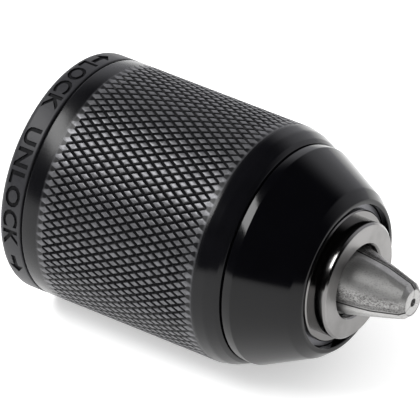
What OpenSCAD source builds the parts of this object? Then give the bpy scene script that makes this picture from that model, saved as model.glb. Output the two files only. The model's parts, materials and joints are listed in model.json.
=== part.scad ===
// Keyless drill chuck for round shanks up to 13 mm, with one knurled metal sleeve.
// The chuck's axis is +X: the origin is the centre of the threaded socket's mouth on the
// rear face, and the jaws point towards +X. Sizes are millimetres and angles degrees.
// Profiles are lists of [radius, x] points, turned round the chuck's axis.

/* [Sleeve] */
// Outer diameter of the grip sleeve and the rear ring
sleeve_d = 43; // [43:0.1:45]
// Distance from the socket's mouth to the rear end of the grip sleeve
sleeve_rear = 6; // [6:0.1:6.4]
// Distance from the socket's mouth to the front end of the grip sleeve
sleeve_front = 46; // [45.9:0.1:46.2]
// Length of the rounded shoulder at the front of the grip sleeve
shoulder_len = 4.1; // [3:0.1:5]
// Diameter of the grip sleeve at the front of its shoulder
shoulder_d = 39.8; // [39.4:0.1:40.4]
// Gap that shows between the rear ring and the grip sleeve
seam = 0.3; // [0.2:0.05:0.5]

/* [Front cone] */
// Largest diameter of the front cone, just ahead of the grip sleeve
cone_rear_d = 39.2; // [38.8:0.1:39.4]
// Diameter where the cone's slope ends and its rounded rim starts
cone_front_d = 30.6; // [30:0.1:31.2]
// Distance from the socket's mouth to the cone's front rim
cone_front = 58.7; // [58.4:0.1:59]
// Diameter of the opening in the front rim
rim_d = 25.9; // [25.9:0.1:26.4]

/* [Body and nose] */
// Distance from the socket's mouth to the face of the nose
body_len = 61.1; // [60.8:0.1:61.4]
// Diameter of the collar in front of the clip
collar_d = 23.6; // [23.2:0.1:23.8]
// Diameter of the nose, which stands out of the collar
nose_d = 20.9; // [20.5:0.1:21.3]
// Width of the chamfer round the face of the nose
nose_chamfer = 0.4; // [0.2:0.1:0.6]
// Diameter of the bore that takes the tool's shank
tool_bore_d = 13.2; // [13.1:0.05:13.4]
// Diameter of the rear hub, which fills the bore of the rear ring
hub_d = 26.2; // [25.4:0.1:26.6]

/* [Spindle socket] */
// Major diameter of the spindle thread
thread_d = 12.7; // [12:0.05:12.8]
// Depth of the threaded socket
socket_depth = 16; // [14:0.5:17]
// Diameter of the clearance hole for the retaining screw
screw_hole_d = 6.6; // [6:0.1:7]

/* [Jaws] */
// Diameter of each round jaw
jaw_d = 9.5; // [9.4:0.05:9.5]
// Length of each jaw along its own axis
jaw_len = 42; // [42:0.1:42.3]
// Angle between a jaw's axis and the chuck's axis
jaw_angle = 15.5; // [15.45:0.05:15.5]
// Distance from the socket's mouth to the point where the jaw axes meet
jaw_apex = 65.1; // [65:0.1:65.2]
// Distance from the socket's mouth to the jaw tips when the jaws are closed
jaw_tip = 72.1; // [71.8:0.1:72.4]
// Smallest shank that the closed jaws hold
smallest_shank = 1.5; // [1:0.1:2]
// Angle of the first jaw round the chuck's axis, from +Y towards +Z
jaw_clock = 19; // [0:1:119]
// Pitch of the jaw thread along a jaw's axis
jaw_pitch = 1.8; // [1.8:0.01:1.82]

/* [Bearing and lock] */
// Diameter of each bearing ball
ball_d = 1.8; // [1.7:0.05:1.8]
// Number of bearing balls
ball_count = 20; // [12:1:24]
// Number of teeth on the ratchet
ratchet_teeth = 40; // [30:1:48]
// Angle that the sleeve turns from free to locked
lock_angle = 18; // [12:1:20]
// Angle that each driving dog covers
dog_angle = 30; // [20:1:36]

/* [Hidden] */
$fn = 96;
eps = 0.01;
far = 60;

sleeve_r = sleeve_d / 2;
sleeve_bore_r = sleeve_r - 1.5;
hub_r = hub_d / 2;
hub_len = 9;
flange_r = 18;
ring_rear = 1;
ring_web = 2;
spigot_len = 2.6;
spigot_in_r = 18.2;
running_gap = 0.1;

// Stations along the axis, from the bearing to the nut.
thrust_rear = 23.5;
thrust_front = 26.5;
neck_r = 14.2;
race_len = 1.5;
race_front = thrust_front + race_len;
ball_play = 0.05;
front_race_rear = race_front + ball_d + 2 * ball_play;
front_race_front = front_race_rear + 1.2;
nut_rear = front_race_front + 0.9;
nut_front = nut_rear + 7.8;
nut_r = 17.2;
band_r = 18.2;

// Jaws and their thread.
jaw_r = jaw_d / 2;
jaw_bore_r = jaw_r + running_gap;
jaw_slope = tan(jaw_angle);
axial_pitch = jaw_pitch * cos(jaw_angle);
tooth_depth = 0.9;
ridge_reach = 0.65;
ridge_gap = 0.15;
ridge_crest_w = 0.4;
groove_side_gap = 0.34;
flank_slope = tan(10);
core_gap = 0.25;
nut_mid = (nut_rear + nut_front) / 2;
jaw_side_gap = 0.04;
tip_bevel = 0.9;
last_tooth = 60.3;

// Races, lock and drive.
race_in_r = 15.9;
race_root_r = 16.9;
race_tip_r = 17.4;
ball_circle_r = 16.5;
arm_in_r = 17.95;
arm_out_r = 18.4;
arm_angle = 70;
drive_in_r = 18.65;
drive_rear = 17;
drive_front = sleeve_front - 1.6;
rib_in_r = 14.8;
rib_rear = nut_front + 0.6;
rib_front = rib_rear + 2.2;
dog_in_r = 15;
dog_out_r = 17;
dog_len = 2.1;
dog_side_gap = 0.6;
bump_out_r = 19.05;
cam_out_r = 19.3;
bump_angle = 4;

// Front of the body, the cone's flange and the clip.
shoulder_r = 14.5;
shoulder_start = nut_front + 0.4;
shoulder_end = shoulder_start + 4;
journal_r = 12.2;
flange_rear = 53.6;
flange_front = 55.6;
groove_rear = 56.3;
groove_front = 57.4;
clip_groove_r = 11;
collar_r = collar_d / 2;
collar_front = 58.3;
nose_r = nose_d / 2;

// Radius of the jaws' outermost line at a distance x along the chuck's axis.
function jaw_crest(x) = (jaw_apex - x) * jaw_slope + jaw_r / cos(jaw_angle);
// A quarter arc in a profile: centre, radii along r and x, first and last angle.
function arc(c, rr, rx, a0, a1, n = 8) =
    [for (i = [0:n]) let (a = a0 + (a1 - a0) * i / n) [c[0] + rr * cos(a), c[1] + rx * sin(a)]];

// Stands a shape that was drawn along +Z on the chuck's axis, +X.
module on_axis() {
    rotate([0, 90, 0]) children();
}

module turned(profile, angle = 360) {
    on_axis() rotate_extrude(angle = angle) polygon(profile);
}

module washer(r_in, r_out, x0, x1) {
    turned([[r_in, x0], [r_out, x0], [r_out, x1], [r_in, x1]]);
}

// Block between two radii and two angles, from z0 to z1 along the axis.
module arc_block(r_in, r_out, a0, a1, z0, z1) {
    rotate(a0) rotate_extrude(angle = a1 - a0)
        translate([r_in, z0]) square([r_out - r_in, z1 - z0]);
}

// Places a shape at one of the three jaws. Its local X then points away from the chuck's
// axis at that jaw, and its local Z runs along the chuck's axis.
module at_jaw(index) {
    on_axis() rotate(jaw_clock + 90 + 120 * index) children();
}

// Local Z runs back along the jaw's own axis, from the point where the axes meet.
module along_jaw() {
    translate([0, 0, jaw_apex]) rotate([0, 180 - jaw_angle, 0]) children();
}

// The cylinder that a jaw slides in, from before the nose to behind the open jaw.
module jaw_paths(r) {
    for (i = [0:2])
        at_jaw(i) along_jaw() translate([0, 0, -20]) cylinder(r = r, h = 77);
}

module chuck_body() {
    core_rear_r = jaw_crest(nut_rear) - ridge_reach - core_gap;
    core_front_r = jaw_crest(nut_front) - ridge_reach - core_gap;
    color("silver") difference() {
        turned([
            [0, 0], [hub_r - 0.5, 0], [hub_r, 0.5], [hub_r, hub_len],
            [flange_r - 0.5, hub_len], [flange_r, hub_len + 0.5], [flange_r, thrust_rear],
            [neck_r, thrust_rear], [neck_r, thrust_front + 0.5], [core_rear_r, thrust_front + 1],
            [core_rear_r, nut_rear], [core_front_r, nut_front], [core_front_r, shoulder_start],
            [shoulder_r - 0.5, shoulder_start], [shoulder_r, shoulder_start + 0.5],
            [shoulder_r, shoulder_end], [journal_r, flange_rear - 0.6],
            [journal_r, groove_rear], [clip_groove_r, groove_rear],
            [clip_groove_r, groove_front], [collar_r - 0.15, groove_front],
            [collar_r, groove_front + 0.15], [collar_r, collar_front - 0.2],
            [collar_r - 0.2, collar_front], [nose_r, collar_front],
            [nose_r, body_len - nose_chamfer],
            [nose_r - nose_chamfer, body_len], [0, body_len],
        ]);
        on_axis() translate([0, 0, -eps]) cylinder(d = thread_d, h = socket_depth + eps);
        on_axis() translate([0, 0, socket_depth - eps]) cylinder(d = screw_hole_d, h = 10);
        on_axis() translate([0, 0, 20.5]) cylinder(d = tool_bore_d, h = far);
        turned([
            [0, body_len + eps], [0, body_len - 0.5], [tool_bore_d / 2, body_len - 0.3],
            [tool_bore_d / 2 + 0.3 + eps, body_len + eps],
        ]);
        jaw_paths(jaw_bore_r);
    }
}

module thrust_ring() {
    color("lightsteelblue") difference() {
        washer(neck_r, flange_r, thrust_rear, thrust_front);
        jaw_paths(jaw_bore_r + running_gap);
    }
}

// Hardened washer with sawteeth round its edge for the two pawls.
module ratchet_race() {
    tooth = 360 / ratchet_teeth;
    outline = [for (i = [0:ratchet_teeth - 1]) each [
        [race_tip_r * cos(i * tooth), race_tip_r * sin(i * tooth)],
        [race_root_r * cos((i + 0.9) * tooth), race_root_r * sin((i + 0.9) * tooth)],
    ]];
    color("slategray") on_axis() translate([0, 0, thrust_front]) difference() {
        linear_extrude(race_len) polygon(outline);
        translate([0, 0, -eps]) cylinder(r = race_in_r, h = race_len + 2 * eps);
    }
}

module bearing_balls() {
    color("white") on_axis()
        for (i = [0:ball_count - 1])
            rotate(i * 360 / ball_count)
                translate([ball_circle_r, 0, race_front + ball_play + ball_d / 2])
                    sphere(d = ball_d, $fn = 32);
}

module ball_cage() {
    mid = race_front + ball_play + ball_d / 2;
    color("peru") difference() {
        washer(15.25, 17.75, mid - 0.3, mid + 0.3);
        on_axis()
            for (i = [0:ball_count - 1])
                rotate(i * 360 / ball_count)
                    translate([ball_circle_r, 0, mid - 1]) cylinder(r = ball_d / 2 + 0.07, h = 2);
    }
}

module front_race() {
    color("slategray") washer(15.2, 17.6, front_race_rear, front_race_front);
}

// Flat ring with two springy arms. Each arm carries a pawl for the ratchet, which points
// inwards, and a bump for the drive sleeve's cam, which points outwards.
module pawl_ring() {
    arm_rear = thrust_front + 0.3;
    color("darkgray") {
        washer(15.2, 17.6, front_race_front, nut_rear);
        for (side = [0, 180])
            on_axis() rotate(side) {
                arc_block(17.3, arm_out_r - 0.1, 1, 11, front_race_front + 0.1, nut_rear - 0.1);
                arc_block(arm_in_r, arm_out_r, 0, arm_angle, arm_rear, nut_rear - 0.2);
                arc_block(race_tip_r + 0.15, arm_in_r + 0.2, arm_angle - 3, arm_angle - 0.3,
                    arm_rear + 0.1, arm_rear + 1.1);
                arc_block(arm_out_r - 0.2, bump_out_r, arm_angle - bump_angle, arm_angle - 0.4,
                    arm_rear + 0.2, arm_rear + 3);
            }
    }
}

// Half a turn of the nut's conical thread: half a ring, tilted to climb half the pitch.
// The ring's centre is a little off the axis, because the thread narrows towards the nose.
module ridge(turn) {
    x = nut_rear + axial_pitch * (turn + 0.25);
    crest = jaw_crest(x) - ridge_reach;
    root = crest + ridge_reach + ridge_gap + 0.4;
    half = ridge_crest_w / 2;
    root_half = half + (root - crest) * flank_slope;
    end_gap = 1;
    translate([axial_pitch * jaw_slope / 4, 0, x])
        rotate([0, atan(axial_pitch / 4 / crest), 0])
            rotate(end_gap) rotate_extrude(angle = 180 - 2 * end_gap)
                polygon([[crest, -half], [root, -root_half], [root, root_half], [crest, half]]);
}

// Half of the split nut: half 0 covers 0 to 180 degrees and half 1 covers the rest.
module nut_half(half) {
    root_rear = jaw_crest(nut_rear) + ridge_gap;
    root_front = jaw_crest(nut_front) + ridge_gap;
    end_gap = 0.3;
    start = 180 * half;
    on_axis() {
        rotate(start + end_gap / 2) {
            rotate_extrude(angle = 180 - end_gap)
                polygon([[root_rear, nut_rear], [nut_r, nut_rear], [nut_r, nut_front],
                    [root_front, nut_front]]);
            arc_block(dog_in_r, dog_out_r, 90 - (dog_angle + end_gap) / 2,
                90 + (dog_angle - end_gap) / 2, nut_front - 0.5, nut_front + dog_len);
        }
        for (turn = [0:3])
            rotate(start) ridge(turn + 0.25 + half / 2);
    }
}

module nut_half_a() {
    color("goldenrod") nut_half(0);
}

module nut_half_b() {
    color("darkgoldenrod") nut_half(1);
}

module nut_band() {
    color("gray") washer(nut_r, band_r, nut_rear + 0.3, nut_front - 0.3);
}

// Inner sleeve that drives the nut's dogs. Its two slots are wider than the dogs by the
// angle of the lock, and its two cam pockets clear the pawl ring's bumps.
module drive_sleeve() {
    slot_angle = dog_angle + lock_angle + 2 * dog_side_gap;
    slot_start = 90 - dog_angle / 2 - dog_side_gap;
    pocket_angle = bump_angle + lock_angle + 4;
    pocket_start = arm_angle - bump_angle - 2;
    color("dimgray") difference() {
        turned([
            [drive_in_r, drive_rear], [sleeve_bore_r, drive_rear], [sleeve_bore_r, drive_front],
            [drive_in_r, drive_front], [drive_in_r, rib_front], [rib_in_r, rib_front],
            [rib_in_r, rib_rear], [drive_in_r, rib_rear],
        ]);
        for (side = [0, 180])
            on_axis() rotate(side) {
                arc_block(rib_in_r - 1, dog_out_r + 0.3, slot_start, slot_start + slot_angle,
                    rib_rear - 1, rib_front + 1);
                arc_block(drive_in_r - 1, cam_out_r, pocket_start, pocket_start + pocket_angle,
                    drive_rear - 1, front_race_front - 1);
            }
    }
}

module grip_sleeve() {
    shoulder_r_out = shoulder_d / 2;
    lip_r = drive_in_r;
    color("black") turned(concat(
        [[sleeve_bore_r, sleeve_rear], [sleeve_r - 0.4, sleeve_rear], [sleeve_r, sleeve_rear + 0.4]],
        arc([shoulder_r_out, sleeve_front - shoulder_len], sleeve_r - shoulder_r_out,
            shoulder_len, 0, 90),
        [[lip_r, sleeve_front], [lip_r, drive_front + 0.1], [sleeve_bore_r, drive_front + 0.1]]
    ));
}

module front_cone() {
    rear = sleeve_front + 0.35;
    spigot_r = drive_in_r - 0.02;
    cone_r = cone_rear_d / 2;
    tip_r = cone_front_d / 2;
    rim_r = rim_d / 2;
    color("black") turned(concat(
        [[17.2, sleeve_front - 3], [spigot_r, sleeve_front - 3], [spigot_r, rear],
            [cone_r - 0.5, rear], [cone_r, rear + 0.5]],
        arc([rim_r + 0.25, cone_front - 1.9], tip_r - rim_r - 0.25, 1.9, 0, 90),
        [[rim_r, cone_front - 0.25], [rim_r, flange_front], [journal_r + running_gap, flange_front],
            [journal_r + running_gap, flange_rear], [14.4, flange_rear], [17.2, sleeve_front + 1]]
    ));
}

module front_washer() {
    color("silver") washer(journal_r + 0.05, rim_d / 2 - 0.1, flange_front + 0.1, groove_rear - 0.05);
}

module snap_ring() {
    opening = 20;
    color("dimgray") on_axis() rotate(opening / 2) rotate_extrude(angle = 360 - opening)
        translate([clip_groove_r, groove_rear]) square([rim_d / 2 - 0.15 - clip_groove_r, 1.05]);
}

module rear_ring() {
    front = sleeve_rear - seam;
    spigot_r = sleeve_bore_r - running_gap;
    edge = 1.4;
    color("darkslategray") turned(concat(
        [[hub_r, ring_rear]],
        arc([sleeve_r - edge, ring_rear + edge], edge, edge, -90, 0),
        [[sleeve_r, front], [spigot_r, front], [spigot_r, front + spigot_len],
            [spigot_in_r, front + spigot_len], [spigot_in_r, ring_rear + ring_web],
            [hub_r, ring_rear + ring_web]]
    ));
}

// Ring of one tooth gap: it lies round a line beside the chuck's axis, so that it is
// concentric with the nut when the jaw brings it there.
module tooth_gap(x) {
    shift = (nut_mid - x) * jaw_slope;
    bottom_r = jaw_crest(nut_mid) - tooth_depth;
    bottom_half = ridge_crest_w / 2 + groove_side_gap;
    top_half = bottom_half + 3 * flank_slope;
    translate([shift, 0, x]) rotate_extrude()
        polygon([[bottom_r, -bottom_half], [bottom_r + 3, -top_half],
            [bottom_r + 3, top_half], [bottom_r, bottom_half]]);
}

// Round jaw, ground to three mating sides, with its thread cut across its outer side.
module jaw(index) {
    s_rear = jaw_len - (jaw_tip - jaw_apex) / cos(jaw_angle);
    phase = (jaw_clock + 90 + 120 * index) / 360 + 0.25;
    rear_x = jaw_apex - s_rear * cos(jaw_angle) - 2;
    first = ceil((rear_x - nut_rear) / axial_pitch - phase);
    last = floor((last_tooth - nut_rear) / axial_pitch - phase);
    tip_r = jaw_crest(jaw_tip - tip_bevel) + 0.05;
    at_jaw(index) difference() {
        intersection() {
            along_jaw() translate([0, 0, -12]) cylinder(r = jaw_r, h = s_rear + 12);
            translate([jaw_side_gap / sin(60), 0, 0]) linear_extrude(far * 2)
                polygon([[0, 0], [far * cos(60), far * sin(60)], [far * cos(60), -far * sin(60)]]);
            rotate_extrude() polygon([
                [0, 0], [far, 0], [far, body_len - 1], [jaw_crest(body_len - 1) + 0.05, body_len - 1],
                [tip_r, jaw_tip - tip_bevel], [tip_r - 0.85, jaw_tip], [0, jaw_tip],
            ]);
        }
        cylinder(d = smallest_shank, h = far * 2);
        for (i = [first:last])
            tooth_gap(nut_rear + axial_pitch * (i + phase));
    }
}

module jaw_1() {
    color("darkgray") jaw(0);
}

module jaw_2() {
    color("gray") jaw(1);
}

module jaw_3() {
    color("lightgray") jaw(2);
}

chuck_body();
thrust_ring();
ratchet_race();
bearing_balls();
ball_cage();
front_race();
pawl_ring();
nut_half_a();
nut_half_b();
nut_band();
drive_sleeve();
grip_sleeve();
front_cone();
front_washer();
snap_ring();
rear_ring();
jaw_1();
jaw_2();
jaw_3();
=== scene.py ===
# %% [markdown]
# # A keyless drill chuck
# This lesson dresses a drill chuck that already works as a machine. Its parts come in as a
# fixed frame, each at its real size and place, with the chuck's axis along +X and the origin
# at the mouth of the threaded socket. The parts that show most are modelled again here with
# finer edges: the knurled sleeve, the ring with its words, and the gloss cone. Lengths are
# written in millimetres and multiplied by mm, because one Blender unit is one metre.

# %% Load the frame
import json
import math

import bmesh
import bpy
from mathutils import Matrix, Vector


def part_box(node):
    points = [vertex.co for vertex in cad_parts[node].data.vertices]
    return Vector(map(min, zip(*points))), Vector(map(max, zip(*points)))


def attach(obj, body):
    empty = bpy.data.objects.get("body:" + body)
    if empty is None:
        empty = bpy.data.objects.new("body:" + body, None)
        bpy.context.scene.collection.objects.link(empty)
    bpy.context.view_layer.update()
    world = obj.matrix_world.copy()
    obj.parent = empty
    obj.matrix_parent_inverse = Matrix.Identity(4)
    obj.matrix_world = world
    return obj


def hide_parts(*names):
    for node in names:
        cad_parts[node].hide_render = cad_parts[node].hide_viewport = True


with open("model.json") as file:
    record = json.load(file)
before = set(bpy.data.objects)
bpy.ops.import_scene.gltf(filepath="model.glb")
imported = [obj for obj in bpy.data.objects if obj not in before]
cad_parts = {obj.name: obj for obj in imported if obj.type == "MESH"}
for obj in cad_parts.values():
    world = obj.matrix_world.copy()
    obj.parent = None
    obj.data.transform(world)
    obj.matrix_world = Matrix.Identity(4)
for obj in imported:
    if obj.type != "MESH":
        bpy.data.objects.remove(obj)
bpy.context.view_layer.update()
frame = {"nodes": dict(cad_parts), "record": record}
mm = 0.001
print("parts in the frame:", len(frame["nodes"]))

# %% [markdown]
# ## Where a point is on the chuck
# Nearly everything on a chuck is round, so a point is best described by its distance from the
# axis and its angle round it. The measure tool could show both, but two lines of trigonometry
# are exact, and the rules that choose faces and edges can use them.

# %% Measure from the axis
def axis_radius(point):
    """Distance of a point from the chuck's axis."""
    return math.hypot(point.y, point.z)


def axis_angle(point):
    """Angle round the chuck's axis, from +Y towards +Z, in radians."""
    return math.atan2(point.z, point.y)


full_turn = 2 * math.pi
print("straight up is at", round(math.degrees(axis_angle(Vector((0, 0, 1))))), "degrees")

# %% [markdown]
# ## Handling the selection
# Blender's editing operators act on whatever is selected. A learner loses most time to a
# stray selection, so these small helpers always start from nothing selected. Faces are then
# picked by a rule, such as "further from the axis than 21 mm", and not by a mouse click.

# %% Helpers for selecting and editing
select_modes = {"verts": "VERT", "edges": "EDGE", "faces": "FACE"}


def only(*objects):
    """Selects just these objects and makes the first one active."""
    bpy.ops.object.select_all(action="DESELECT")
    for item in objects:
        item.select_set(True)
    bpy.context.view_layer.objects.active = objects[0]


def pick(piece, kind, rule):
    """In edit mode, selects only the verts, edges or faces that the rule accepts."""
    bpy.ops.mesh.select_all(action="DESELECT")
    bpy.ops.mesh.select_mode(type=select_modes[kind])
    cage = bmesh.from_edit_mesh(piece.data)
    chosen = [item for item in getattr(cage, kind) if rule(item)]
    for item in chosen:
        item.select_set(True)
    cage.select_flush_mode()
    bmesh.update_edit_mesh(piece.data)
    return len(chosen)


def smooth(piece, degrees=32):
    """Shades a piece smooth, except at edges sharper than this many degrees."""
    only(piece)
    bpy.ops.object.shade_smooth_by_angle(angle=math.radians(degrees))


def apply_modifier(piece, kind, **settings):
    """Adds a modifier with its settings and applies it at once."""
    only(piece)
    modifier = piece.modifiers.new(kind.title(), kind)
    for name, value in settings.items():
        setattr(modifier, name, value)
    bpy.ops.object.modifier_apply(modifier=modifier.name)


print("objects that loading left selected:", len(bpy.context.selected_objects))

# %% [markdown]
# ## Rounded corners
# A real edge is never perfectly sharp, and its rounding catches a fine line of light. A Bevel
# modifier could round the finished part, but it treats every edge alike. Here the section is
# rounded before it is turned, so each corner (x, radius, rounding) has its own rounding, and a
# rounding of 0 leaves it sharp.

# %% Round the corners of a section
def rounded(corners, steps=5):
    """Turns corners (x, radius, rounding) in millimetres into outline points in metres."""
    outline = []
    for index, (x, r, rounding) in enumerate(corners):
        here = Vector((x, r)) * mm
        if rounding == 0:
            outline.append(here)
            continue
        before = Vector(corners[index - 1][:2]) * mm
        after = Vector(corners[(index + 1) % len(corners)][:2]) * mm
        back, on = (before - here).normalized(), (after - here).normalized()
        half = back.angle(on) / 2
        reach = rounding * mm / math.tan(half)
        centre = here + (back + on).normalized() * rounding * mm / math.sin(half)
        start, end = here + back * reach - centre, here + on * reach - centre
        turn = start.angle_signed(end)
        for step in range(steps + 1):
            spoke = start.copy()
            spoke.rotate(Matrix.Rotation(-turn * step / steps, 2))
            outline.append(centre + spoke)
    return outline


one_round_corner = rounded([(0, 0, 0), (4, 0, 0), (4, 2, 0.5), (0, 2, 0)])
print("a rectangle with one round corner has", len(one_round_corner), "points")

# %% [markdown]
# ## Turned parts
# Nearly every part of a chuck is made on a lathe, so the natural way to model one is Spin:
# draw half of the section, then spin it round the axis. A Screw modifier gives the same shape,
# but the operator shows what happens step by step. The section is drawn as by hand, by
# extruding one vertex from corner to corner until the loop closes.

# %% Draw a section and spin it
closing_gap, weld_gap = 1e-7, 1e-6


def draw(name, outline):
    """Draws a closed outline by extruding one vertex, and stays in edit mode."""
    bpy.ops.object.select_all(action="DESELECT")
    bpy.ops.mesh.primitive_plane_add(size=mm)
    piece = bpy.context.object
    piece.name = piece.data.name = name
    bpy.ops.object.mode_set(mode="EDIT")
    bpy.ops.mesh.merge(type="CENTER")
    corners = [Vector((x, y, 0)) for x, y in outline]
    bpy.ops.transform.translate(value=corners[0])
    for start, end in zip(corners, corners[1:] + corners[:1]):
        bpy.ops.mesh.extrude_vertices_move(TRANSFORM_OT_translate={"value": end - start})
    bpy.ops.mesh.select_all(action="SELECT")
    bpy.ops.mesh.remove_doubles(threshold=closing_gap)
    return piece


def face_outwards():
    """Merges what meets, turns every normal outwards, and leaves edit mode."""
    bpy.ops.mesh.select_all(action="SELECT")
    bpy.ops.mesh.remove_doubles(threshold=weld_gap)
    bpy.ops.mesh.normals_make_consistent(inside=False)
    bpy.ops.object.mode_set(mode="OBJECT")


def turned(name, outline, steps):
    """Spins a closed outline of (x, radius) points round the chuck's axis."""
    piece = draw(name, outline)
    bpy.ops.mesh.spin(steps=steps, angle=full_turn, center=(0, 0, 0), axis=(1, 0, 0))
    face_outwards()
    print(name, "has", len(piece.data.polygons), "faces")
    return piece


print(f"a full turn for the spin is {full_turn:.4f} radians")

# %% [markdown]
# ## Shader maths that reads like maths
# A procedural finish is a web of nodes. Wiring each one by hand hides the idea, so a socket
# is wrapped in a small class here: writing `1 - mask * 0.3` then adds the Math nodes itself.

# %% Sums on sockets
class Flow:
    """A socket that can be added up, multiplied and so on in Python."""

    def __init__(self, web, socket):
        self.web = web
        self.socket = socket

    def math(self, operation, *others):
        """A Math node that takes this value first, and then the others."""
        return self.web.node("ShaderNodeMath", {"operation": operation}, (self, *others))

    def __add__(self, other):
        return self.math("ADD", other)

    def __sub__(self, other):
        return self.math("SUBTRACT", other)

    def __rsub__(self, other):
        return self.web.node("ShaderNodeMath", {"operation": "SUBTRACT"}, (other, self))

    def __mul__(self, other):
        return self.math("MULTIPLY", other)

    def above(self, low, high):
        """0 where this is under low, 1 where it is over high, and a smooth step between."""
        return self.web.node("ShaderNodeMapRange", {"interpolation_type": "SMOOTHSTEP"},
                             {"Value": self, "From Min": low, "From Max": high})

    __radd__ = __add__
    __rmul__ = __mul__


print("a socket can be asked for:", [name for name in vars(Flow) if name[0] != "_"])

# %% [markdown]
# Every other node comes from one method, which takes its type, its settings and its inputs.
# It works on any tree of nodes, so the materials and the world share it.

# %% The web of nodes
class Web:
    """The nodes of a material or of the world."""

    def __init__(self, tree):
        self.tree = tree

    def feed(self, socket, value):
        """Links a wrapped socket, or sets a plain value."""
        if isinstance(value, Flow):
            self.tree.links.new(value.socket, socket)
        else:
            socket.default_value = value

    def node(self, kind, settings, inputs, output=0):
        """Adds a node and gives back one of its outputs."""
        made = self.tree.nodes.new(kind)
        for name, value in settings.items():
            setattr(made, name, value)
        pairs = inputs.items() if isinstance(inputs, dict) else enumerate(inputs)
        for key, value in pairs:
            self.feed(made.inputs[key], value)
        return Flow(self, made.outputs[output])


print("a web can:", [name for name in vars(Web) if name[0] != "_"])

# %% [markdown]
# A finish is a material on the Principled shader. Its patterns read Object coordinates, which
# are the part's own metres, so a noise can be given in millimetres and never slides when the
# part moves. Generated coordinates would stretch the same noise over each part's own box.

# %% The finish of a part
class Finish(Web):
    """A material that is being built on a Principled shader."""

    def __init__(self, name, **constants):
        self.material = bpy.data.materials.new(name)
        self.material.use_nodes = True
        super().__init__(self.material.node_tree)
        self.shader = self.tree.nodes["Principled BSDF"]
        self.set(**constants)

    def place(self, scale=(1, 1, 1)):
        """The point being shaded, in the part's own metres, multiplied by scale."""
        point = self.node("ShaderNodeTexCoord", {}, {}, "Object")
        return self.node("ShaderNodeMapping", {}, {"Vector": point, "Scale": scale})

    def noise(self, size_mm, stretch=(1, 1, 1), detail=3.0):
        """Cloudy noise from 0 to 1 whose blotches are about size_mm across."""
        return self.node("ShaderNodeTexNoise", {}, {
            "Vector": self.place(stretch), "Scale": 1 / (size_mm * mm), "Detail": detail})

    def part_of_place(self, axis):
        """One coordinate of the point being shaded, in metres."""
        return self.node("ShaderNodeSeparateXYZ", {}, [self.place()], axis)

    def along(self):
        """Distance along the chuck's axis in millimetres."""
        return self.part_of_place("X") * (1 / mm)

    def radius(self):
        """Distance from the chuck's axis in millimetres."""
        flat = self.node("ShaderNodeVectorMath", {"operation": "LENGTH"},
                         [self.place((0, 1, 1))], "Value")
        return flat * (1 / mm)

    def mix(self, factor, first, second):
        """Blends two colours. The first may itself be a blend."""
        if isinstance(first, tuple):
            first = (*first, 1)
        return self.node("ShaderNodeMix", {"data_type": "RGBA"},
                         {0: factor, 6: first, 7: (*second, 1)}, 2)

    def set(self, **sockets):
        """Feeds the shader's sockets, named with _ for a space."""
        for name, value in sockets.items():
            self.feed(self.shader.inputs[name.replace("_", " ")], value)
        return self

    def bump(self, height, depth_mm):
        """Raises the surface by depth_mm where height is 1."""
        normal = self.node("ShaderNodeBump", {},
                           {"Height": height, "Distance": depth_mm * mm, "Strength": 1.0})
        return self.set(Normal=normal)


def tone(colour, times):
    """The same colour, lighter or darker."""
    return tuple(times * channel for channel in colour)


def dress(piece, finish):
    """Gives a piece one finish and nothing else."""
    piece.data.materials.clear()
    piece.data.materials.append(finish.material)


print("a finish can:", [name for name in vars(Finish) if name[0] != "_"])

# %% [markdown]
# ## The camera
# The chuck is looked at from ahead of its nose, from one side and from above. A short lens
# close by would make the nose look huge, so a very long lens stands far off, and the sleeve's
# two edges stay parallel. The aim is a point near the middle of the sleeve, just above its
# axis. The Standard view shows the colours as they are set, without a film curve.

# %% Set up the camera
scene = bpy.context.scene
view_turn = math.radians(35.0)
view_lift = math.radians(34.0)
frame_width = 72.0 * mm
lens, sensor = 600.0, 36.0
nearest, furthest = 0.1, 50
aim = Vector((29.1, 1.8, 1.2)) * mm
backwards = Vector((math.sin(view_turn) * math.cos(view_lift),
                    -math.cos(view_turn) * math.cos(view_lift), math.sin(view_lift)))
distance = frame_width * lens / sensor
bpy.ops.object.camera_add(location=aim + backwards * distance)
camera = bpy.context.object
camera.rotation_euler = backwards.to_track_quat("Z", "Y").to_euler()
camera.data.lens, camera.data.sensor_width = lens, sensor
camera.data.clip_start, camera.data.clip_end = nearest, furthest
scene.camera = camera
scene.view_settings.view_transform = "Standard"
print(f"the camera is {distance:.3f} m away")

# %% [markdown]
# ## The floor
# The chuck lies on a plain pale sheet. A white floor that is only lit turns grey wherever the
# light is weak, so the sheet also glows a little by itself, and stays pale up to its far edge.

# %% Lay the floor
floor_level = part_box("grip_sleeve")[0].z
floor_size = 3
bpy.ops.object.select_all(action="DESELECT")
bpy.ops.mesh.primitive_plane_add(size=floor_size, location=(0, 0, floor_level))
floor = bpy.context.object
floor.name = "floor"
paper = Finish("pale_paper", Roughness=0.7, Emission_Strength=0.42,
               Emission_Color=(1, 1, 1, 1))
paper.set(Base_Color=paper.mix(paper.noise(40), (0.86, 0.86, 0.86), (0.9, 0.9, 0.9)))
dress(floor, paper)
print(f"the floor is {-floor_level / mm:.1f} mm under the axis")

# %% [markdown]
# ## The softbox
# Gloss black shows nothing but what it reflects, so the lamps matter more than the paint. A
# small lamp would give hard white dots. One wide softbox hangs high up beyond the chuck's rear
# end, on the camera's side, and draws the long soft highlight down the sleeve.

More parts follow.
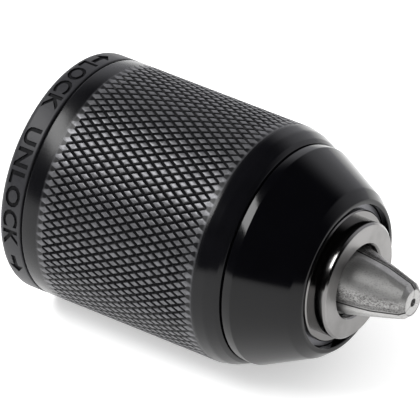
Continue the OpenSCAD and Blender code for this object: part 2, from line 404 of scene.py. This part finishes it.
# %% Hang the softbox
def softbox(name, direction, reach, width, height, watts):
    """A rectangular light that faces the aim from a direction, reach metres away."""
    towards = Vector(direction).normalized()
    bpy.ops.object.light_add(type="AREA", location=aim + towards * reach)
    lamp = bpy.context.object
    lamp.name = name
    lamp.rotation_euler = towards.to_track_quat("Z", "Y").to_euler()
    lamp.data.shape = "RECTANGLE"
    lamp.data.size, lamp.data.size_y = width, height
    lamp.data.energy = watts
    return lamp


over = softbox("softbox_over", direction=(-0.5, -0.40, 0.77), reach=0.6,
               width=0.50, height=0.20, watts=3.9)
print(f"the softbox is {over.location.z:.2f} m above the axis")

# %% [markdown]
# ## The room
# An even white room would light the floor well, but it would also turn every black part grey.
# Blender can tell the two apart: the Light Path node knows whether a ray has just left a shiny
# surface. Such rays meet a dim room, with one soft glow low down behind the chuck, and all
# other rays meet a white one.

# %% Light the room
white_walls = (0.97, 0.97, 0.97, 1)
dim_walls = (0.95, 0.95, 1.0, 1)
least_glow = 0.003
room = bpy.data.worlds.new("dim_room")
scene.world = room
room.use_nodes = True
air = Web(room.node_tree)
air.tree.nodes.remove(air.tree.nodes["Background"])
way = air.node("ShaderNodeTexCoord", {}, {}, "Generated")
behind = air.node("ShaderNodeSeparateXYZ", {}, [way], "Y").above(0.1, 0.5)
overhead = air.node("ShaderNodeSeparateXYZ", {}, [way], "Z").above(0.42, 0.78)
glow = behind * (1 - overhead) + least_glow
white = air.node("ShaderNodeBackground", {}, {"Color": white_walls})
dim = air.node("ShaderNodeBackground", {}, {"Color": dim_walls, "Strength": glow})
is_glossy = air.node("ShaderNodeLightPath", {}, {}, "Is Glossy Ray")
both = air.node("ShaderNodeMixShader", {}, [is_glossy, white, dim])
air.feed(air.tree.nodes["World Output"].inputs["Surface"], both)
print("the room has", len(air.tree.nodes), "nodes")

# %% [markdown]
# ## Blacks
# The sleeve, the cone and the ring have one black film over steel, finished three ways. One
# flat black would look like plastic, so each gets a very shallow orange peel and fine marks
# round the axis, left by the lathe under the film. The marks are a noise that is stretched
# fifty times across the axis, so it changes quickly along it only.

# %% The black film
def black(name, peel_mm):
    """Black film over steel, with an even peel and fine marks round the axis."""
    finish = Finish(name, Specular_IOR_Level=0.23)
    peel = finish.noise(0.35, detail=2)
    turning = finish.noise(0.12, (1, 0.02, 0.02), detail=1)
    return finish.bump(peel + turning * 0.6, peel_mm)


black_cone = black("black_cone", 0.0012)
black_ring = black("black_ring", 0.010)
black_sleeve = black("black_sleeve", 0.002)
print("blacks:", [m.name for m in bpy.data.materials if m.name.startswith("black")])

# %% [markdown]
# The cone is the glossiest. Its roughness drifts in soft clouds, and small patches are
# rougher where fingers have dulled it, because a perfect mirror looks unreal.

# %% Gloss on the cone
gloss_black = (0.0010, 0.0010, 0.0014)
cone_drift = 0.05
cone_clouds = black_cone.noise(6)
dulled = black_cone.noise(0.9, detail=5).above(0.62, 0.75)
black_cone.set(
    Base_Color=black_cone.mix(cone_clouds, gloss_black, tone(gloss_black, 1.6)),
    Roughness=0.13 + (cone_clouds - 0.5) * cone_drift + dulled * cone_drift,
)
print("the cone's black has", len(black_cone.tree.nodes), "nodes")

# %% [markdown]
# The ring is satin. Its cut letters are painted darker, as painted shade in the cuts, and are
# rougher wherever the surface lies below its full radius, except at its rounded rear edge and
# its seam. Painting the letters by hand would also work, but a mask from the radius fits
# every letter by itself.

# %% Painted shade in the letters on the ring
satin_dark, satin_light = (0.014, 0.014, 0.016), (0.024, 0.024, 0.027)
letter_shade_black = (0.002, 0.002, 0.003)
rim_start, rim_end = (1.9, 2.1), (5.3, 5.45)
ring_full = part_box("rear_ring")[1].z / mm
cut = 1 - black_ring.radius().above(ring_full - 0.22, ring_full - 0.06)
ring_along = black_ring.along()
on_rim = ring_along.above(*rim_start) * (1 - ring_along.above(*rim_end))
# Painted shade: the cut letters are darkened in colour, and also made rougher.
shaded_letters = cut * on_rim
ring_specks = black_ring.noise(0.5, detail=4)
black_ring.set(
    Base_Color=black_ring.mix(shaded_letters, black_ring.mix(ring_specks, satin_dark, satin_light),
                              letter_shade_black),
    Roughness=0.37 + ring_specks * 0.14 + shaded_letters * 0.3,
)
print(f"grease lies deeper than 0.06 mm under the ring's {ring_full:.2f} mm radius")

# %% [markdown]
# The points of the knurl lose their black first. The mask below is 1 close to the full radius
# of the sleeve and inside the knurled length, and noise breaks it up. Where it is 1 the film
# turns into dark bare steel. The smooth shoulder ahead of the knurl is a little glossier.

# %% Worn points on the knurl
film_dark, film_light = (0.0018, 0.0018, 0.0024), (0.004, 0.004, 0.005)
bare_steel = (0.115, 0.115, 0.122)
knurl_start, knurl_end = 8.8, 41.7
sleeve_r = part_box("grip_sleeve")[1].z / mm
sleeve_clouds = black_sleeve.noise(6)
sleeve_marks = black_sleeve.noise(0.9, detail=5)
sleeve_along = black_sleeve.along()
high = black_sleeve.radius().above(sleeve_r - 0.10, sleeve_r - 0.02)
in_knurl = (sleeve_along.above(knurl_start + 0.2, knurl_start + 0.9)
            * (1 - sleeve_along.above(knurl_end - 0.7, knurl_end - 0.1)))
on_shoulder = sleeve_along.above(knurl_end, knurl_end + 0.6)
worn = high * in_knurl * (0.55 + 0.45 * sleeve_marks.above(0.35, 0.62))
black_sleeve.set(
    Base_Color=black_sleeve.mix(
        worn, black_sleeve.mix(sleeve_clouds, film_dark, film_light), bare_steel),
    Metallic=worn * 0.5,
    Roughness=(0.25 - on_shoulder * 0.10 + in_knurl * 0.07
               + (sleeve_clouds - 0.5) * 0.08 + sleeve_marks * in_knurl * 0.08),
)
print(f"the knurl is {knurl_end - knurl_start:.1f} mm long, at radius {sleeve_r:.1f} mm")

# %% [markdown]
# ## Steels
# Each bare part is turned, ground or pressed, and the work leaves its grain. Roughness follows
# the same grain as the bump, because light catches the ridges. The balls and the brass cage
# have no direction, so their noise is even, with cloudy oil stains and a few dark pits.

# %% Steel without a direction
def steel(name, colour, roughness, grain_mm, stain):
    """Bare metal with an even grain, cloudy oil stains and a few dark pits."""
    finish = Finish(name)
    grain = finish.noise(grain_mm, detail=4)
    oil = finish.noise(3.5, detail=4)
    pits = finish.noise(0.35, detail=2).above(0.66, 0.74)
    stained = finish.mix(oil.above(0.35, 0.75), colour, tone(colour, stain))
    finish.set(
        Base_Color=finish.mix(pits * 0.5, stained, tone(colour, 0.3)),
        Metallic=1.0,
        Roughness=roughness + (grain - 0.5) * 0.22 + pits * 0.15,
    )
    return finish.bump(grain - pits * 0.8, 0.004)


ball_steel = steel("ball_steel", (0.74, 0.74, 0.75), 0.08, 0.30, 0.9)
cage_brass = steel("cage_brass", (0.71, 0.52, 0.24), 0.30, 0.20, 0.7)
print("made", ball_steel.material.name, "and", cage_brass.material.name)

# %% [markdown]
# A lathe leaves rings. On a barrel they stand one after another along the axis, so one noise
# changes along the axis only. On a flat face they are circles, so a second noise depends on
# the radius alone. The side of the body's nose is polished, and there both grow faint.

# %% Turned steel
def turned_steel(name, colour, roughness, polished=None):
    """Bare metal with fine rings round the chuck's axis, both on faces and on barrels.

    Between the two stations in polished, in millimetres along the axis, it is smoother.
    """
    finish = Finish(name)
    barrel_rings = finish.noise(0.10, (1, 0.004, 0.004), detail=2)
    face_rings = finish.node("ShaderNodeTexNoise", {"noise_dimensions": "1D"},
                             {"W": finish.radius(), "Scale": 9.0, "Detail": 3.0})
    oil = finish.noise(4.5, detail=4)
    dull = 1.0
    if polished:
        start, end = polished
        station = finish.along()
        dull = 1 - 0.6 * station.above(start, start + 0.05) * (1 - station.above(end - 0.05, end))
    finish.set(
        Base_Color=finish.mix(1 - (1 - oil.above(0.4, 0.8) * 0.4) * dull, colour,
                              tone(colour, 0.5)),
        Metallic=1.0,
        Roughness=(roughness + (face_rings - 0.5) * 0.16 + (oil - 0.5) * 0.12) * dull,
    )
    return finish.bump((barrel_rings * 0.5 + face_rings) * dull, 0.002)


nose_side = (56.0, 61.05)
body_steel = turned_steel("body_steel", (0.255, 0.25, 0.246), 0.36, nose_side)
print("the nose is polished from x =", nose_side[0], "to", nose_side[1], "mm")

# %% [markdown]
# ## Ground jaws
# The three jaws meet along flat sides, and the line between them is painted dark, as painted
# shade in the seam. A mask finds that line from the angle round the axis: it repeats every 120
# degrees. The angle is turned into millimetres, so that the line has the same width at every
# radius. The end faces of the tips, close to the axis, get no painted shade.

# %% Find the lines between the jaws
jaw_steel = Finish("jaw_steel", Metallic=0.9)
jaw_pitch = 120.0
first_seam = 79.0
line_fade, tip_fade = (0.05, 0.28), (2.2, 2.5)
pitch_angle = math.radians(jaw_pitch)
turn = jaw_steel.part_of_place("Z").math("ARCTAN2", jaw_steel.part_of_place("Y"))
phase = (turn * (1 / pitch_angle) - (first_seam / jaw_pitch + 0.5)).math("FRACT")
away = (phase - 0.5).math("ABSOLUTE") * pitch_angle * jaw_steel.radius()
on_side = jaw_steel.radius().above(*tip_fade)
# Painted shade: the line between the jaws is darkened in colour and pressed in by the bump.
painted_seam_shade = (1 - away.above(*line_fade)) * on_side
print("lines at", [first_seam + jaw_pitch * k for k in range(3)], "degrees round the axis")

# %% [markdown]
# A jaw is ground along its length, so its grain is stretched that way. One flank of each jaw
# is painted darker, as painted shade, with dark specks of scale from hardening on it, and the
# edges along the seams are broken with a stone. The slope of a broken edge is only a ramp in
# the bump, because the frame's jaws keep their own exact shape.

# %% Scale, stains and painted shade on the jaws
jaw_light, jaw_scale_and_shade = (0.42, 0.416, 0.41), (0.085, 0.083, 0.081)
seam_shade_colour = (0.02, 0.019, 0.018)
jaw_streaks = jaw_steel.noise(0.16, (0.06, 1, 1), detail=4)
jaw_pits = jaw_steel.noise(0.35, detail=2).above(0.66, 0.74)
jaw_clouds = jaw_steel.noise(1.6, detail=5)
jaw_specks = jaw_steel.noise(0.2, (0.6, 1, 1), detail=6)
jaw_grain = jaw_steel.noise(0.13, (0.07, 1, 1), detail=4)
flank_start, flank_end = (0.08, 0.28), (0.44, 0.48)
# Painted shade: one flank of each jaw is darkened in colour, with dark specks on it.
shaded_flank = phase.above(*flank_start) * (1 - phase.above(*flank_end)) * on_side
jaw_stain_and_shade = (jaw_clouds.above(0.42, 0.85) * 0.25 + jaw_specks.above(0.48, 0.7) * 0.3
             + shaded_flank * (jaw_specks.above(0.3, 0.64) * 0.5 + 0.25))
jaw_tint = jaw_steel.mix(jaw_stain_and_shade, jaw_light, jaw_scale_and_shade)
edge_width, edge_rise = 1.5, 4.0
broken_edge = away.above(0.0, edge_width) * on_side * edge_rise
jaw_steel.set(
    Base_Color=jaw_steel.mix(painted_seam_shade, jaw_tint, seam_shade_colour),
    Roughness=0.45 + (jaw_streaks - 0.5) * 0.22 + jaw_pits * 0.15,
)
jaw_steel.bump(jaw_grain * 0.12 + jaw_specks * 0.1 - painted_seam_shade + broken_edge, 0.12)
print("the jaws' steel has", len(jaw_steel.tree.nodes), "nodes")

# %% [markdown]
# ## Dressing the frame
# Each part of the frame says in the record which finish its surface has. One table holds all
# the finishes, and a loop hands them out, so no part is forgotten. Parts that are made again
# below get theirs a second time.

# %% The whole set of finishes
finishes = {
    "black_sleeve": black_sleeve,
    "black_cone": black_cone,
    "black_ring": black_ring,
    "body_steel": body_steel,
    "jaw_steel": jaw_steel,
    "bearing_steel": turned_steel("bearing_steel", (0.50, 0.50, 0.51), 0.16),
    "ball_steel": ball_steel,
    "cage_brass": cage_brass,
    "spring_steel": turned_steel("spring_steel", (0.13, 0.13, 0.14), 0.34),
    "nut_steel": turned_steel("nut_steel", (0.40, 0.385, 0.37), 0.35),
    "sleeve_steel": turned_steel("sleeve_steel", (0.30, 0.30, 0.31), 0.38),
}
slot_of = {part["node"]: part["material_slot"] for part in frame["record"]["subparts"]}
for node_name, node_piece in frame["nodes"].items():
    dress(node_piece, finishes[slot_of[node_name]])
print("dressed", len(frame["nodes"]), "parts")

# %% [markdown]
# ## The knurled sleeve
# The sleeve is what the hand turns. Its knurl is a crossing of two sets of V grooves that a
# wheel presses into the metal. It could be a bump map, but its zigzag ends and its glitter
# come from real facets, so it is modelled. First the sleeve is turned with a plain grid where
# the knurl goes, at the depth of the grooves.

# %% Turn the sleeve
columns, rows = 84, 11
groove = 0.32
low, high_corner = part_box("grip_sleeve")
rear_x, front_x = low.x / mm, high_corner.x / mm
bore_r = sleeve_r - 1.5
lip_r, shoulder_r = 18.65, 19.9
lip_x = front_x - 1.5
row_len = (knurl_end - knurl_start) / rows
grid = [(knurl_start + row_len * i, sleeve_r - groove, 0) for i in range(1, rows)]
shoulder = [(knurl_end + 0.25, sleeve_r - 0.06, 0), (front_x - 2.4, sleeve_r - 0.42, 3.0),
            (front_x - 0.7, shoulder_r + 0.35, 0.8), (front_x, shoulder_r - 0.2, 0.25)]
sleeve = turned("grip_sleeve_knurled", rounded(
    [(rear_x, bore_r, 0.1), (rear_x, sleeve_r, 0.35), (knurl_start, sleeve_r, 0)] + grid
    + [(knurl_end, sleeve_r, 0)] + shoulder
    + [(front_x, lip_r, 0.1), (lip_x, lip_r, 0), (lip_x, bore_r, 0)]
), columns)

# %% [markdown]
# The trick is to turn the grid into diamonds. Poke puts a point in the middle of every square,
# and dissolving the old square edges leaves nothing but diamonds. Cutting hundreds of grooves
# with a Boolean would give the same pattern, slowly and with ragged crossings.

# %% Find the squares and their edges
touching, same_x, same_angle = 1e-6, 1e-7, 1e-4


def in_zone(point):
    """True for a point of the outer skin within the knurled length."""
    inside = knurl_start * mm - touching < point.x < knurl_end * mm + touching
    return inside and axis_radius(point) > (sleeve_r - groove - 0.1) * mm


def square_edge(edge):
    """True for the grid's own edges inside the zone, which run along or round the axis."""
    a, b = (vert.co for vert in edge.verts)
    if not (in_zone(a) and in_zone(b)):
        return False
    at_end = any(abs(a.x - end * mm) + abs(b.x - end * mm) < touching
                 for end in (knurl_start, knurl_end))
    turn_between = abs(axis_angle(a) - axis_angle(b))
    lengthwise = min(turn_between, full_turn - turn_between) < same_angle
    return (abs(a.x - b.x) < same_x or lengthwise) and not at_end


def zone_face(face):
    """True for a face that lies wholly in the knurl."""
    return all(in_zone(vert.co) for vert in face.verts)


print("a square is", round(row_len, 2), "mm long")

# %% [markdown]
# Each diamond is then inset by itself and lifted: a wide steep inset makes the sides of the
# grooves, and a narrower shallow one the broken edge round each flat top. The two lifts add up
# to slightly more than the depth of the grooves, so the last loop brings the tops back to the
# full radius. Picking no vertex at the end leaves the editor ready for the next drawing.

# %% Press the diamonds
only(sleeve)
bpy.ops.object.mode_set(mode="EDIT")
squares = pick(sleeve, "faces", zone_face)
bpy.ops.mesh.poke()
pick(sleeve, "edges", square_edge)
bpy.ops.mesh.dissolve_edges(use_verts=False, use_face_split=False)
diamonds = pick(sleeve, "faces", lambda face: len(face.verts) == 4 and zone_face(face))
bpy.ops.mesh.inset(use_individual=True, thickness=0.29 * mm, depth=(groove - 0.03) * mm)
bpy.ops.mesh.inset(use_individual=True, thickness=0.17 * mm, depth=0.05 * mm)
pick(sleeve, "verts", lambda vert: False)
bpy.ops.object.mode_set(mode="OBJECT")
for vert in sleeve.data.vertices:
    reach = axis_radius(vert.co)
    if reach > sleeve_r * mm:
        vert.co.y *= sleeve_r * mm / reach
        vert.co.z *= sleeve_r * mm / reach
smooth(sleeve, 25)
dress(sleeve, black_sleeve)
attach(sleeve, "sleeve")
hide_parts("grip_sleeve")
print(f"{squares} squares became {diamonds} diamonds, {len(sleeve.data.polygons)} faces")

# %% [markdown]
# ## The front cone
# The cone closes the front of the sleeve and turns with it. It is a plain turned part, so one
# spin makes it. What sells it is the set of small roundings: a thin bright line at its rear
# edge, next to the groove, and a soft roll into the opening round the nose.

# %% Turn the cone
low, high_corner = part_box("front_cone")
cone_r = high_corner.z / mm
cone_front = high_corner.x / mm
cone_rear = front_x + 0.35
spigot_r, skirt_r = lip_r - 0.02, 17.2
roll_r, mouth_r, rim_r = 15.28, 13.75, 12.95
flange_r, flange_front, flange_rear = 12.3, 55.6, 53.6
cone = turned("front_cone_turned", rounded([
    (low.x / mm, skirt_r, 0), (low.x / mm, spigot_r, 0.1), (cone_rear, spigot_r, 0),
    (cone_rear, cone_r, 0.18), (cone_rear + 1.7, cone_r, 0.6),
    (cone_front - 1.75, roll_r, 1.6), (cone_front, mouth_r, 0.55), (cone_front, rim_r, 0.18),
    (flange_front, rim_r, 0), (flange_front, flange_r, 0), (flange_rear, flange_r, 0),
    (flange_rear, 14.4, 0), (front_x + 1, skirt_r, 0),
], steps=7), 168)
smooth(cone)
dress(cone, black_cone)
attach(cone, "sleeve")
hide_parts("front_cone")
print(f"the cone narrows from radius {cone_r:.2f} to {mouth_r:.2f} mm")

# %% [markdown]
# ## The rear ring
# The ring closes the back of the sleeve and stays still while the sleeve turns. It is turned
# like the others, with a spigot that enters the sleeve and a hub hole for the body.

# %% Turn the ring
low, high_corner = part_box("rear_ring")
ring_rear = low.x / mm
ring_front = high_corner.x / mm
ring_r = high_corner.z / mm
seam_x = rear_x - 0.3
hub_r, hollow_r = 13.1, 18.2
wall_x = ring_rear + 2
ring = turned("rear_ring_lettered", rounded([
    (ring_rear, hub_r, 0.15), (ring_rear, ring_r, 1.4), (seam_x, ring_r, 0.25),
    (seam_x, bore_r - 0.1, 0), (ring_front, bore_r - 0.1, 0.2),
    (ring_front, hollow_r, 0), (wall_x, hollow_r, 0), (wall_x, hub_r, 0),
], steps=7), 180)
print(f"the ring's rim is {seam_x - ring_rear:.1f} mm long")

# %% [markdown]
# The ring tells the user which way to turn the sleeve, with one word and one arrow for each
# way, cut into its rim. Curve modifiers can wrap text too, but a word is easier to control as
# a plain mesh: made flat, set to its size, given depth, and bent round the rim by its angle.

# %% Shape the cutters
letter_height = 3.0
letter_depth = 0.32
cutter_rise = 0.3
word_x = 3.65


def wrap(piece, middle_deg):
    """Bends a flat piece round the rim: its X runs round the axis, its Y along it."""
    for vert in piece.data.vertices:
        turned_by = math.radians(middle_deg) + vert.co.x / (ring_r * mm)
        reach = ring_r * mm + vert.co.z
        vert.co = (word_x * mm + vert.co.y, reach * math.cos(turned_by),
                   reach * math.sin(turned_by))


def thicken(piece):
    """Gives a flat piece a body from inside the rim to just outside it."""
    apply_modifier(piece, "SOLIDIFY", thickness=(letter_depth + cutter_rise) * mm, offset=0)
    for vert in piece.data.vertices:
        vert.co.z += (cutter_rise - letter_depth) / 2 * mm


print(f"cutters go {letter_depth} mm deep and stand {cutter_rise} mm out")

# %% [markdown]
# A text object starts as a font curve, so it is converted to a mesh and its crowded points
# are merged. The arrow is drawn corner by corner and filled with one face.

# %% Draw a word and an arrow
def word(text, width):
    """A word as a flat mesh, centred, letter_height tall and width wide, in millimetres."""
    bpy.ops.object.select_all(action="DESELECT")
    bpy.ops.object.text_add(location=(0, 0, 0))
    piece = bpy.context.object
    piece.name = "cutter_" + text.lower()
    piece.data.body = text
    piece.data.resolution_u = 3
    piece.data.offset = 0.03
    piece.data.space_character = 1.12
    bpy.ops.object.convert(target="MESH")
    verts = piece.data.vertices
    spans = [(min(v.co[i] for v in verts), max(v.co[i] for v in verts)) for i in (0, 1)]
    sizes = (width * mm, letter_height * mm)
    for vert in verts:
        for i, (start, end) in enumerate(spans):
            vert.co[i] = ((vert.co[i] - start) / (end - start) - 0.5) * sizes[i]
    bpy.ops.object.mode_set(mode="EDIT")
    bpy.ops.mesh.select_all(action="SELECT")
    bpy.ops.mesh.remove_doubles(threshold=weld_gap)
    bpy.ops.mesh.dissolve_limited(angle_limit=math.radians(1))
    bpy.ops.object.mode_set(mode="OBJECT")
    return piece


arrow_corners = [(2.4, 0), (0.4, 1.45), (0.4, 0.45), (-2.2, 0.45), (-2.2, -0.45),
                 (0.4, -0.45), (0.4, -1.45)]


def arrow(way):
    """A flat arrow that points along +X for way 1 and along -X for way -1."""
    piece = draw("cutter_arrow", [(way * x * mm, y * mm) for x, y in arrow_corners])
    bpy.ops.mesh.edge_face_add()
    bpy.ops.object.mode_set(mode="OBJECT")
    return piece


print("an arrow has", len(arrow_corners), "corners")

# %% [markdown]
# Each cutter is taken away from the ring with a Boolean, as an engraving cutter would. The
# same four marks come again half a turn on, so that a pair of words shows from every side.

# %% Cut the words and the arrows
facing_deg = 141.8
half_turn_deg = 180
lock_width, unlock_width = 13.6, 22.4
for side in (0, half_turn_deg):
    for cutter, middle in ((arrow(-1), -66), (word("LOCK", lock_width), -41),
                           (word("UNLOCK", unlock_width), 17), (arrow(1), 59)):
        thicken(cutter)
        wrap(cutter, facing_deg + (middle + side))
        bpy.ops.object.mode_set(mode="EDIT")
        face_outwards()
        apply_modifier(ring, "BOOLEAN", operation="DIFFERENCE", object=cutter, solver="EXACT")
        bpy.data.objects.remove(cutter)
smooth(ring)
dress(ring, black_ring)
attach(ring, "body")
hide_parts("rear_ring")
print("ring faces after cutting:", len(ring.data.polygons))

# %% [markdown]
# ## The spindle thread
# From behind, the socket shows its thread. The bore in the frame is as wide as the bottom of
# the thread, so the thread is the metal that stands in from it: one ridge that winds round the
# bore. Rings side by side would look nearly right, but they would never screw on. The Screw
# modifier turns a small section round an axis and moves it along as it goes.

# %% Wind the thread
thread_r, thread_pitch, thread_turns = 6.35, 1.27, 12
crest_r = 5.72
root_r = thread_r + 0.03
section = [(0.15, root_r), (0.65, crest_r), (0.81, crest_r), (1.31, root_r)]
steps_per_turn = 48
thread = draw("spindle_thread", [(x * mm, r * mm) for x, r in section])
bpy.ops.object.mode_set(mode="OBJECT")
apply_modifier(thread, "SCREW", axis="X", angle=full_turn * thread_turns,
               screw_offset=thread_pitch * thread_turns * mm,
               steps=steps_per_turn * thread_turns, render_steps=steps_per_turn * thread_turns)
print(f"the thread is {thread_pitch * thread_turns:.1f} mm long")

# %% [markdown]
# The wound ridge is open at its two ends. Its loose edges are found by asking for what isn't
# closed, and a face is put over each end, so that the ridge is a solid.

# %% Close the ends of the thread
bpy.ops.object.mode_set(mode="EDIT")
bpy.ops.mesh.select_all(action="DESELECT")
bpy.ops.mesh.select_mode(type="EDGE")
bpy.ops.mesh.select_non_manifold()
bpy.ops.mesh.edge_face_add()
face_outwards()
smooth(thread)
dress(thread, body_steel)
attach(thread, "body")
print("thread faces:", len(thread.data.polygons))

# %% [markdown] The new pieces are meant to fill the same box as the frame, or the chuck has
# grown. The sleeve, the cone and the ring take their lengths and outer radii from its boxes.
